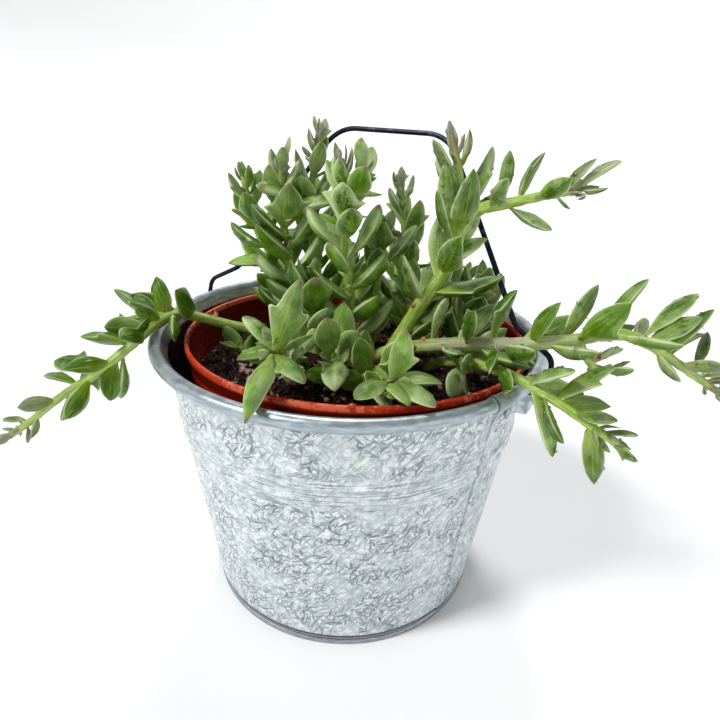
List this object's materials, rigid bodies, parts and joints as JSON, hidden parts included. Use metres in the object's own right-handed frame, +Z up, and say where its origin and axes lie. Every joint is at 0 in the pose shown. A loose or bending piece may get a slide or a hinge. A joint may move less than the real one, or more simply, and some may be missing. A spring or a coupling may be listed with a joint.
{
  "type": "potted succulent in a bucket",
  "caption": "Trailing fleshy-leaved succulent in a thin nursery pot, standing in a tapered galvanised bucket with a rolled rim and a hinged wire handle.",
  "frame": {"origin": "centre of the bucket's foot ring, on the surface that it stands on", "axes": "+Z up along the bucket's axis, +X along the stems that trail out to the right, -Y towards the front that the picture shows"},
  "size_m": [0.2369, 0.1486, 0.172],
  "materials": {
    "zinc": "satin",
    "dark_wire": "satin",
    "terracotta_plastic": "satin",
    "potting_mix": "matte",
    "succulent_green": "satin"
  },
  "bodies": {
    "bucket": {"bucket_wall": "zinc", "bucket_bottom": "zinc", "ear_right": "zinc", "ear_left": "zinc", "nursery_pot": "terracotta_plastic", "potting_mix": "potting_mix", "stem_left": "succulent_green", "stem_old_right": "succulent_green", "stem_low_right": "succulent_green", "stem_front_left": "succulent_green", "stem_front": "succulent_green", "stem_front_inner": "succulent_green", "stem_tall_left": "succulent_green", "stem_tall_mid": "succulent_green", "stem_tall_back": "succulent_green", "stem_purple": "succulent_green", "stem_thin_back": "succulent_green", "stem_right_upright": "succulent_green", "stem_centre": "succulent_green", "stem_inner_left": "succulent_green", "stem_inner_right": "succulent_green", "stem_back_left": "succulent_green", "stem_back": "succulent_green", "stem_back_right": "succulent_green", "stem_over_back": "succulent_green", "stem_on_soil": "succulent_green"},
    "handle": {"handle": "dark_wire"}
  },
  "joints": [
    {"name": "handle_hinge", "type": "hinge", "parent": "bucket", "child": "handle", "pos_m": [0, 0, 0.092], "axis": [-0.866, 0.5, 0], "range_deg": [0, 26]}
  ]
}
